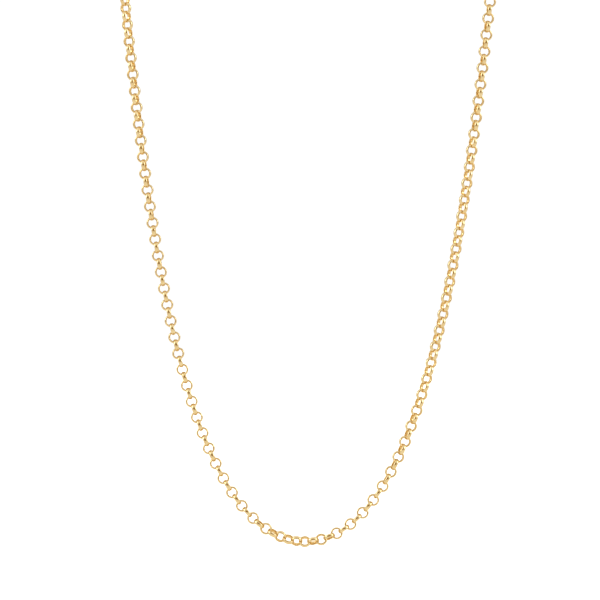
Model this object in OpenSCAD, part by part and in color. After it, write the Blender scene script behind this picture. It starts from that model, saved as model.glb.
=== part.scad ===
// A neck chain of round belcher links with a ring clasp, hung as it is worn.
// The origin is where the clasp rests on the nape. +Z is up, and the front hangs at -Y.

/* [Links] */
// Outer diameter of a link
link_d = 2.6; // [2.55:0.05:2.7]
// Thickness of a link's wire, across the ring
wire_t = 0.3; // [0.24:0.01:0.3]
// Width of a link's wire, along the ring's axis
wire_w = 0.74; // [0.5:0.02:0.74]
// Width of the level band round the outside of the wire, and of the one round its inside
wire_band = 0.24; // [0.16:0.02:0.26]
// Height of the narrow flat along each side of the wire
wire_edge = 0.04; // [0.02:0.01:0.08]
// Spacing of two links along the taut chain
pitch = 1.83; // [1.8:0.01:1.84]

/* [Chain] */
// Number of links, which is odd, so that both end links cross the clasp
link_count = 243; // [221:2:243]
// Radius of the hanging curve at its lowest link
sag_r = 13.5; // [13:0.1:16]

/* [Way round the neck] */
// Height above the lowest link at which the strands bend back
bend_height = 124; // [100:1:126]
// Radius of the bend over the shoulders
bend_r = 20; // [15:1:30]
// Angle that the bend turns through, from straight up towards the back
bend_turn = 62; // [30:1:80]

/* [Clasp] */
// Outer diameter of the clasp's ring
clasp_d = 5.5; // [4:0.1:7]
// Thickness of the clasp's round wire
clasp_wire = 1; // [0.8:0.05:1.1]
// Outer diameter of the eye soldered to the ring
eye_d = 2.8; // [2.6:0.05:3.2]
// Thickness of the eye's round wire
eye_wire = 0.5; // [0.4:0.05:0.6]

/* [Hidden] */
$fn = 48;

// Roll of the row of links about its own line. Arc is measured from the lowest link, and
// grows to the wearer's left. At no roll the even links are edge on from the front.
//        arc, roll in degrees
ROLL = [[-225, 0],
        [-180, 20],
        [-132, 37],
        [-118, 22],
        [-108, 20],
        [-97, 13],
        [-78, 2],
        [-66, -2],
        [-42, -1],
        [-28, -6],
        [-18, -5],
        [-12, 3],
        [-8, 16],
        [-4, 34],
        [0, 53],
        [4, 71],
        [8, 84],
        [12, 86],
        [18, 87],
        [27, 102],
        [40, 114],
        [53, 125],
        [62, 121],
        [67, 121],
        [76, 125],
        [89, 126],
        [97, 117],
        [106, 108],
        [119, 103],
        [132, 98],
        [170, 60],
        [225, 0]];

// The wire is rounded by bevels, which take the larger share of its thickness inside the ring
inner_share = 0.6;
inner_bevel = inner_share * (wire_t - wire_edge);
outer_bevel = wire_t - wire_edge - inner_bevel;
link_r = link_d / 2;
link_bore_r = link_r - wire_t;
clasp_bore_r = clasp_d / 2 - clasp_wire;
eye_bore_r = eye_d / 2 - eye_wire;

// Play between two links on the taut chain, which the end links have on the clasp too
link_play = 2 * link_bore_r - pitch;
clasp_gap = link_bore_r + clasp_bore_r - link_play;
eye_gap = link_bore_r + eye_bore_r - link_play;
solder_lap = 0.35;
eye_at = clasp_d / 2 + eye_d / 2 - solder_lap;
clasp_span = clasp_gap + eye_at + eye_gap;
ring_at = clasp_gap - clasp_span / 2;
loop_len = (link_count - 1) * pitch + clasp_span;

// The loop laid out flat: a hanging curve up to join_s, then an arch over the back
function curve_x(s) = sag_r * ln(s / sag_r + sqrt(pow(s / sag_r, 2) + 1));
function curve_z(s) = sqrt(s * s + sag_r * sag_r) - sag_r;
function lean(s) = atan(sag_r / s);
function arch_r_at(s) = curve_x(s) / cos(lean(s));
function loop_at(s) = 2 * s + 2 * arch_r_at(s) * (90 + lean(s)) * PI / 180;
function find_join(lo, hi, steps) =
    let (mid = (lo + hi) / 2)
    steps == 0 ? mid
    : loop_at(mid) < loop_len ? find_join(mid, hi, steps - 1)
    : find_join(lo, mid, steps - 1);
join_s = find_join(0.1 * loop_len, 0.5 * loop_len, 30);
arch_r = arch_r_at(join_s);
arch_z = curve_z(join_s) + arch_r * sin(lean(join_s));
function arch_angle(s) = (s - join_s) / arch_r * 180 / PI - lean(join_s);
// How far the straight clasp lies inside the arch, to be in line with both end links
clasp_drop = arch_r * (1 - cos(clasp_span / 2 / arch_r * 180 / PI));

// Place along the flat loop, [x, z, direction], for an arc s to the right of the lowest link
function flat_right(s) =
    s < join_s ? [curve_x(s), curve_z(s), atan(s / sag_r)]
    : [arch_r * cos(arch_angle(s)), arch_z + arch_r * sin(arch_angle(s)), 90 + arch_angle(s)];
function flat(s) = s < 0 ? let (p = flat_right(-s)) [-p[0], p[1], -p[2]] : flat_right(s);

// The flat loop bent back about a level line, [angle, y, z] for a height h above the bend
bend_len = bend_r * bend_turn * PI / 180;
function bent(h) =
    h < 0 ? [0, 0, h]
    : h < bend_len ? let (a = h / bend_len * bend_turn) [a, bend_r * (1 - cos(a)), bend_r * sin(a)]
    : [bend_turn,
       bend_r * (1 - cos(bend_turn)) + (h - bend_len) * sin(bend_turn),
       bend_r * sin(bend_turn) + (h - bend_len) * cos(bend_turn)];
nape = bent(arch_z + arch_r - bend_height);

// Moves a ring from the origin, where it lies flat with the chain along X, to its place
module along(s, roll) {
    p = flat(s);
    b = bent(p[1] - bend_height);
    translate([p[0], b[1] - nape[1], b[2] - nape[2]])
        rotate([-b[0], 0, 0])
        rotate([0, -p[2], 0])
        rotate([roll, 0, 0])
        children();
}

module wire_section() {
    band = wire_band / 2;
    side = wire_w / 2;
    polygon([[link_r, -band],
             [link_r, band],
             [link_r - outer_bevel, side],
             [link_bore_r + inner_bevel, side],
             [link_bore_r, band],
             [link_bore_r, -band],
             [link_bore_r + inner_bevel, -side],
             [link_r - outer_bevel, -side]]);
}

module link() {
    rotate_extrude() wire_section();
}

module round_ring(outer_d, wire) {
    rotate_extrude() translate([(outer_d - wire) / 2, 0]) circle(wire / 2);
}

module chain() {
    color("#d9b36a")
        for (k = [0 : link_count - 1]) {
            s = (k - (link_count - 1) / 2) * pitch;
            along(s, lookup(s, ROLL) + 90 * ((k + 1) % 2)) link();
        }
}

module clasp() {
    color("#d9b36a")
        along(loop_len / 2, 0) {
            translate([ring_at, 0, clasp_drop]) round_ring(clasp_d, clasp_wire);
            translate([ring_at + eye_at, 0, clasp_drop]) round_ring(eye_d, eye_wire);
        }
}

chain();
clasp();
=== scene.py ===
"""The looks of a fine gold belcher chain that hangs as it is worn.

Every link is built anew, as polished half-round wire with its solder seam, where the frame's
chain has it. The clasp keeps the frame's shape. Lengths are in metres.
"""
import math

import bpy
import numpy as np
from mathutils import Matrix, Vector


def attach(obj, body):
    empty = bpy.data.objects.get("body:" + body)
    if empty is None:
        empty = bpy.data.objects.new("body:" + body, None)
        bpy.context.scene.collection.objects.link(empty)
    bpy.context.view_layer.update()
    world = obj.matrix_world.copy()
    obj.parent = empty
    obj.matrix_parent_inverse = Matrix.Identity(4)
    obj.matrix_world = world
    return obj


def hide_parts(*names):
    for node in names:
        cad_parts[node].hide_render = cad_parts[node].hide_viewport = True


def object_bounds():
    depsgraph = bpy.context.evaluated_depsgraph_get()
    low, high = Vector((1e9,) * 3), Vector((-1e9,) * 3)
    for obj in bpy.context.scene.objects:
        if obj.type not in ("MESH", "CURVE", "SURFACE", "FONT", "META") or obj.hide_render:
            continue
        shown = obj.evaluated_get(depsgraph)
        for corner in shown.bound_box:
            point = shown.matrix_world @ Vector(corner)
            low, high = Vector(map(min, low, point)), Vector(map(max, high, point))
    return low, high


MM = 0.001
SEED = 11
SAME_POINT = 0.001 * MM

# Links: wire sizes across and along the ring's axis, the share of the wire's thickness on the
# bore's side of its widest place, the powers that round its crown and its sides, of which 1
# gives an ellipse and less is flatter, and how evenly the links are made. A link tilts about
# the chain's line by TILT_DEG, and along it by a share of that. Its seam lies at either side
# of the chain's line, give or take SEAM_WANDER in radians
LINK_D = 2.68 * MM
WIRE_T = 0.43 * MM
WIRE_W = 0.87 * MM
INNER_DOME = 0.32
CROWN_POWER = 0.92
SIDE_POWER = 0.8
RING_STEPS = 44
WIRE_STEPS = 16
OVAL = 0.010
TILT_DEG = 2.0
TILT_ALONG = 0.4
SEAM_SIDES = (0.5, 1.5)
SEAM_WANDER = 0.35
SEAM_BEAD = 0.05
SEAM_HALF = 0.16 * MM

# Picture: the photo's scale, the pixel where the lowest link lies and the photo's slight turn
IMAGE_SIZE = 600
MM_PER_PIXEL = 0.22
LOWEST_PIXEL = (304.8, 541.6)
PHOTO_TURN_DEG = 0.287
CAMERA_AWAY = 0.9
CLIP_START = 0.01
SENSOR = 36.0

# Studio: the floor, with its glow to the camera, the white that the camera sees past it, the
# room's colour at so many degrees from the way to the camera, and the lamps, as azimuth and
# elevation in degrees, width and height in metres at LAMP_AWAY, and brightness
FLOOR_DROP = 0.4
FLOOR_HALF = 30.0
FLOOR_WHITE = (0.93, 0.91, 0.86)
FLOOR_GLOW = 0.8
FLOOR_ROUGHNESS = 0.9
BACKDROP = (1.05, 1.05, 1.05)
ROOM = [(8, (0.30, 0.15, 0.035)),
        (28, (0.29, 0.17, 0.065)),
        (41, (0.46, 0.36, 0.23)),
        (56, (0.93, 0.89, 0.80)),
        (110, (1.01, 0.99, 0.95)),
        (140, (0.72, 0.67, 0.58)),
        (165, (0.27, 0.22, 0.15))]
LAMP_AWAY = 1.2
LAMPS = {"lamp_left": (-80, 25, 0.55, 0.55, 3.1),
         "lamp_right": (80, 25, 0.55, 0.55, 3.1)}

# Gold: its colours, how far the bore takes its painted shade colour, a deeper orange that stands
# in for the shade and gold-on-gold reflection inside the links, the roughness between its smooth
# and worn places, the strength and height of its bumps, and the scale and detail of the noise
# behind its cloudy tone and bumps and of the one behind its wear, both read over NOISE_SPAN. The
# solder's tone fades out between two distances from the seam, in millimetres
GOLD_DARK = (0.85, 0.65, 0.335)
GOLD_LIGHT = (0.91, 0.75, 0.44)
# Painted shade: the bore's deeper orange stands in for the shade and gold-on-gold reflection inside
# the links
GOLD_BORE_SHADE = (0.85, 0.57, 0.22)
GOLD_SOLDER = (0.84, 0.70, 0.42)
GOLD_EDGE = (0.92, 0.80, 0.60)
GOLD_IOR = 1.45
BORE_SHADE_SHARE = 0.7
ROUGHNESS = (0.16, 0.24)
BUMP = 0.05
BUMP_HEIGHT = 0.006 * MM
CLOUD = (900.0, 3.0)
WEAR = (3200.0, 4.0)
NOISE_SPAN = (0.3, 0.7)
SOLDER_FADE = (0.03, 0.14)


def loose_links(node):
    """Centre and axis of each loose link in the chain's CAD node, as two arrays."""
    mesh = node.data
    points = np.empty(len(mesh.vertices) * 3)
    mesh.vertices.foreach_get("co", points)
    points = points.reshape(-1, 3)
    _, same = np.unique(np.round(points / SAME_POINT).astype(np.int64), axis=0, return_inverse=True)
    same = same.ravel()
    edges = np.empty(len(mesh.edges) * 2, np.int64)
    mesh.edges.foreach_get("vertices", edges)
    ends = same[edges.reshape(-1, 2)]
    place = np.zeros((same.max() + 1, 3))
    place[same] = points
    label = np.arange(len(place))
    while True:
        low = np.minimum(label[ends[:, 0]], label[ends[:, 1]])
        grown = label.copy()
        np.minimum.at(grown, ends[:, 0], low)
        np.minimum.at(grown, ends[:, 1], low)
        if np.array_equal(grown, label):
            break
        label = grown
    centres, axes = [], []
    for one in np.unique(label):
        ring = place[label == one]
        middle = ring.mean(0)
        _, turned = np.linalg.eigh(np.cov((ring - middle).T))
        centres.append(middle)
        axes.append(turned[:, 0])
    return np.array(centres), np.array(axes)


def in_order(centres):
    """Indices of the links along the loop, from one side of the clasp round to the other."""
    away = np.linalg.norm(centres, axis=1)
    away[centres[:, 0] > 0] = np.inf
    order = [int(np.argmin(away))]
    left = set(range(len(centres))) - set(order)
    while left:
        rest = np.array(sorted(left))
        step = np.linalg.norm(centres[rest] - centres[order[-1]], axis=1)
        order.append(int(rest[np.argmin(step)]))
        left.remove(order[-1])
    return np.array(order)


def wire_section():
    """Points round the wire's section: distance from the ring's axis, and height along it."""
    turn = np.arange(WIRE_STEPS) * 2 * math.pi / WIRE_STEPS
    side = np.sign(np.cos(turn)) * np.abs(np.cos(turn)) ** CROWN_POWER
    rise = np.sign(np.sin(turn)) * np.abs(np.sin(turn)) ** SIDE_POWER
    seat = LINK_D / 2 - (1 - INNER_DOME) * WIRE_T
    height = np.where(rise > 0, (1 - INNER_DOME) * WIRE_T, INNER_DOME * WIRE_T)
    return seat + rise * height, side * WIRE_W / 2, rise


def link_mesh(centre, axis, along, rng):
    """Corner points of one link, their millimetres from its seam, and their share of painted bore
    shade.
    """
    along = along - axis * (along @ axis)
    along /= np.linalg.norm(along)
    across = np.cross(axis, along)
    tilt = np.radians(rng.normal(0, TILT_DEG, 2))
    axis = axis + math.tan(tilt[0]) * along * TILT_ALONG + math.tan(tilt[1]) * across
    axis /= np.linalg.norm(axis)
    along = along - axis * (along @ axis)
    along /= np.linalg.norm(along)
    across = np.cross(axis, along)

    theta = np.arange(RING_STEPS) * 2 * math.pi / RING_STEPS
    reach, height, rise = wire_section()
    oval = 1 + OVAL * np.cos(2 * (theta - rng.uniform(0, math.pi)))
    seam_at = rng.choice(SEAM_SIDES) * math.pi + rng.normal(0, SEAM_WANDER)
    apart = np.abs((theta - seam_at + math.pi) % (2 * math.pi) - math.pi)
    from_seam = apart * LINK_D / 2
    bead = 1 + SEAM_BEAD * np.exp(-(from_seam / SEAM_HALF) ** 2)

    mid = LINK_D / 2 - WIRE_T / 2
    r = mid * oval[:, None] + (reach - mid)[None, :] * bead[:, None]
    z = height[None, :] * bead[:, None]
    spoke = np.cos(theta)[:, None] * along + np.sin(theta)[:, None] * across
    corners = centre + r[:, :, None] * spoke[:, None, :] + z[:, :, None] * axis
    # Painted shade: the bore side of the wire's section is marked for a deeper orange in place of
    # the shade inside the link
    bore_shade = np.broadcast_to(np.clip(-rise, 0, 1), r.shape)
    seam = np.broadcast_to(from_seam[:, None] / MM, r.shape)
    return corners.reshape(-1, 3), seam.ravel(), bore_shade.ravel()


def ring_faces():
    """Quads of one link, as corner numbers."""
    i = np.arange(RING_STEPS)[:, None]
    j = np.arange(WIRE_STEPS)[None, :]
    i2, j2 = (i + 1) % RING_STEPS, (j + 1) % WIRE_STEPS
    near, far = i * WIRE_STEPS, i2 * WIRE_STEPS
    return np.stack([near + j, far + j, far + j2, near + j2], -1).reshape(-1, 4)


def add_attribute(mesh, name, values):
    layer = mesh.attributes.new(name, "FLOAT", "POINT")
    layer.data.foreach_set("value", np.asarray(values, np.float32))


def chain_piece(name, picks, centres, axes, alongs, rng, material):
    """One mesh of the picked links."""
    quads = ring_faces()
    corners, faces, seams, bore_shades = [], [], [], []
    for n, k in enumerate(picks):
        c, seam, bore_shade = link_mesh(centres[k], axes[k], alongs[k], rng)
        corners.append(c)
        seams.append(seam)
        bore_shades.append(bore_shade)
        faces.append(quads + n * len(c))
    mesh = bpy.data.meshes.new(name)
    mesh.from_pydata(np.concatenate(corners).tolist(), [], np.concatenate(faces).tolist())
    mesh.polygons.foreach_set("use_smooth", np.ones(len(mesh.polygons), bool))
    add_attribute(mesh, "seam", np.concatenate(seams))
    add_attribute(mesh, "bore_shade", np.concatenate(bore_shades))
    mesh.materials.append(material)
    mesh.update()
    piece = bpy.data.objects.new(name, mesh)
    bpy.context.scene.collection.objects.link(piece)
    return piece


def node(tree, kind, **settings):
    made = tree.nodes.new(kind)
    for key, value in settings.items():
        setattr(made, key, value)
    return made


def noise(tree, place, scale, detail):
    """Noise over the object's own place."""
    made = node(tree, "ShaderNodeTexNoise")
    made.inputs["Scale"].default_value = scale
    made.inputs["Detail"].default_value = detail
    tree.links.new(place.outputs["Object"], made.inputs["Vector"])
    return made.outputs["Fac"]


def spread(tree, value, start, end, **settings):
    """Value mapped from the span start onto the span end."""
    made = node(tree, "ShaderNodeMapRange", **settings)
    made.inputs["From Min"].default_value, made.inputs["From Max"].default_value = start
    made.inputs["To Min"].default_value, made.inputs["To Max"].default_value = end
    tree.links.new(value, made.inputs["Value"])
    return made.outputs["Result"]


def tinted(tree, colour, share, other):
    """Colour with a share of another one."""
    made = node(tree, "ShaderNodeMixRGB")
    made.inputs["Color2"].default_value = (*other, 1)
    tree.links.new(share, made.inputs["Fac"])
    tree.links.new(colour, made.inputs["Color1"])
    return made.outputs["Color"]


def gold(name, with_seam_and_bore_shade):
    """Polished yellow gold, cloudy and worn, with painted shade in the bore and a solder seam on
    the links.
    """
    material = bpy.data.materials.new(name)
    material.use_nodes = True
    tree = material.node_tree
    links = tree.links
    shader = tree.nodes["Principled BSDF"]
    shader.inputs["Metallic"].default_value = 1.0
    shader.inputs["IOR"].default_value = GOLD_IOR
    shader.inputs["Specular Tint"].default_value = (*GOLD_EDGE, 1)
    place = node(tree, "ShaderNodeTexCoord")

    cloud = noise(tree, place, *CLOUD)
    tint = node(tree, "ShaderNodeValToRGB")
    for spot, at, shade in zip(tint.color_ramp.elements, NOISE_SPAN, (GOLD_DARK, GOLD_LIGHT)):
        spot.position = at
        spot.color = (*shade, 1)
    links.new(cloud, tint.inputs["Fac"])
    colour = tint.outputs["Color"]
    gloss = spread(tree, noise(tree, place, *WEAR), NOISE_SPAN, ROUGHNESS)

    if with_seam_and_bore_shade:
        seam = node(tree, "ShaderNodeAttribute", attribute_name="seam")
        near = spread(tree, seam.outputs["Fac"], SOLDER_FADE, (1, 0),
                      interpolation_type="SMOOTHSTEP")
        colour = tinted(tree, colour, near, GOLD_SOLDER)
        # Painted shade: the bore side takes a deeper orange that stands in for shade and
        # gold-on-gold reflection
        bore_shade = node(tree, "ShaderNodeAttribute", attribute_name="bore_shade")
        painted_shade = node(tree, "ShaderNodeMath", operation="MULTIPLY")
        painted_shade.inputs[1].default_value = BORE_SHADE_SHARE
        links.new(bore_shade.outputs["Fac"], painted_shade.inputs[0])
        colour = tinted(tree, colour, painted_shade.outputs[0], GOLD_BORE_SHADE)

    links.new(colour, shader.inputs["Base Color"])
    links.new(gloss, shader.inputs["Roughness"])
    bump = node(tree, "ShaderNodeBump")
    bump.inputs["Strength"].default_value = BUMP
    bump.inputs["Distance"].default_value = BUMP_HEIGHT
    links.new(cloud, bump.inputs["Height"])
    links.new(bump.outputs["Normal"], shader.inputs["Normal"])
    return material


def paper_white():
    """Plain matt white of the floor, which glows to the camera alone."""
    material = bpy.data.materials.new("white_floor")
    material.use_nodes = True
    tree = material.node_tree
    shader = tree.nodes["Principled BSDF"]
    shader.inputs["Roughness"].default_value = FLOOR_ROUGHNESS
    shader.inputs["Specular IOR Level"].default_value = 0.0
    shader.inputs["Base Color"].default_value = (*FLOOR_WHITE, 1)
    shader.inputs["Emission Color"].default_value = (1, 1, 1, 1)
    seen = node(tree, "ShaderNodeLightPath")
    lift = node(tree, "ShaderNodeMapRange")
    lift.inputs["To Max"].default_value = FLOOR_GLOW
    tree.links.new(seen.outputs["Is Camera Ray"], lift.inputs["Value"])
    tree.links.new(lift.outputs["Result"], shader.inputs["Emission Strength"])
    return material


def make_floor(level):
    bpy.ops.mesh.primitive_plane_add(size=2 * FLOOR_HALF, location=(0, 0, level))
    floor = bpy.context.object
    floor.name = "floor"
    floor.data.materials.append(paper_white())


def make_world():
    """White to the camera. In the metal, a white tent, warm and dark at the camera, dim behind."""
    world = bpy.data.worlds.new("studio")
    bpy.context.scene.world = world
    world.use_nodes = True
    tree = world.node_tree
    links = tree.links
    back = tree.nodes["Background"]
    place = node(tree, "ShaderNodeTexCoord")
    apart = node(tree, "ShaderNodeVectorMath", operation="DOT_PRODUCT")
    apart.inputs[1].default_value = (0, -1, 0)
    links.new(place.outputs["Generated"], apart.inputs[0])
    angle = node(tree, "ShaderNodeMath", operation="ARCCOSINE")
    links.new(apart.outputs["Value"], angle.inputs[0])
    share = node(tree, "ShaderNodeMath", operation="DIVIDE")
    share.inputs[1].default_value = math.pi
    links.new(angle.outputs[0], share.inputs[0])
    shade = node(tree, "ShaderNodeValToRGB")
    ramp = shade.color_ramp
    for _ in ROOM[2:]:
        ramp.elements.new(0.5)
    for spot, (degrees, colour) in zip(ramp.elements, ROOM):
        spot.position = degrees / 180
        spot.color = (*colour, 1)
    links.new(share.outputs[0], shade.inputs["Fac"])
    seen = node(tree, "ShaderNodeLightPath")
    plain = tinted(tree, shade.outputs["Color"], seen.outputs["Is Camera Ray"], BACKDROP)
    links.new(plain, back.inputs["Color"])
    back.inputs["Strength"].default_value = 1.0


def soft_box(name, azimuth, elevation, width, height, level, target):
    """A large lamp that faces target, hidden from the camera itself."""
    a, e = math.radians(azimuth), math.radians(elevation)
    way = Vector((math.sin(a) * math.cos(e), -math.cos(a) * math.cos(e), math.sin(e)))
    data = bpy.data.lights.new(name, "AREA")
    data.shape = "RECTANGLE"
    data.size, data.size_y = width, height
    data.energy = level * math.pi * width * height
    lamp = bpy.data.objects.new(name, data)
    lamp.location = target + way * LAMP_AWAY
    lamp.rotation_euler = way.to_track_quat("Z", "Y").to_euler()
    lamp.visible_camera = False
    bpy.context.scene.collection.objects.link(lamp)


def make_camera(lowest):
    """Level camera with a long lens, set so that the lowest link lies at its pixel."""
    across = (IMAGE_SIZE / 2 - LOWEST_PIXEL[0]) * MM_PER_PIXEL * MM
    up = (LOWEST_PIXEL[1] - IMAGE_SIZE / 2) * MM_PER_PIXEL * MM
    data = bpy.data.cameras.new("camera")
    data.sensor_width = SENSOR
    data.lens = SENSOR * CAMERA_AWAY / (IMAGE_SIZE * MM_PER_PIXEL * MM)
    data.clip_start = CLIP_START
    camera = bpy.data.objects.new("camera", data)
    turn = Matrix.Rotation(math.radians(-PHOTO_TURN_DEG), 3, "Y")
    before = Vector((lowest[0], lowest[1] - CAMERA_AWAY, lowest[2]))
    camera.location = before + turn @ Vector((across, 0, up))
    camera.rotation_euler = (turn @ Matrix.Rotation(math.pi / 2, 3, "X")).to_euler()
    bpy.context.scene.collection.objects.link(camera)
    bpy.context.scene.camera = camera


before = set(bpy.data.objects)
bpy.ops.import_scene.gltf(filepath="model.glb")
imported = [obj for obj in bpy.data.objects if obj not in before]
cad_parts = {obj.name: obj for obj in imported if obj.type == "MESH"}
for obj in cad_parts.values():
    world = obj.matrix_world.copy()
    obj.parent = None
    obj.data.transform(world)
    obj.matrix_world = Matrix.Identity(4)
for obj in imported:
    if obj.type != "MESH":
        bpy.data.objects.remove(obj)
cad_low, cad_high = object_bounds()

centres, axes = loose_links(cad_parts["chain"])
order = in_order(centres)
centres, axes = centres[order], axes[order]
alongs = np.gradient(centres, axis=0)
alongs /= np.linalg.norm(alongs, axis=1)[:, None]

rng = np.random.default_rng(SEED)
link_gold = gold("link_gold", True)
middle = len(centres) // 2
halves = {"chain_left": range(0, middle), "chain_right": range(middle, len(centres))}
for name, picks in halves.items():
    piece = chain_piece(name, picks, centres, axes, alongs, rng, link_gold)
    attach(piece, "root")
    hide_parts("chain")

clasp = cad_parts["clasp"]
clasp.data.materials.clear()
clasp.data.materials.append(gold("clasp_gold", False))

lowest = centres[np.argmin(centres[:, 2])]
make_floor(cad_low.z - FLOOR_DROP)
make_world()
target = Vector((0, lowest[1], (lowest[2] + cad_high.z) / 2))
for name, shape in LAMPS.items():
    soft_box(name, *shape, target)
make_camera(lowest)

scene = bpy.context.scene
scene.view_settings.view_transform = "Standard"
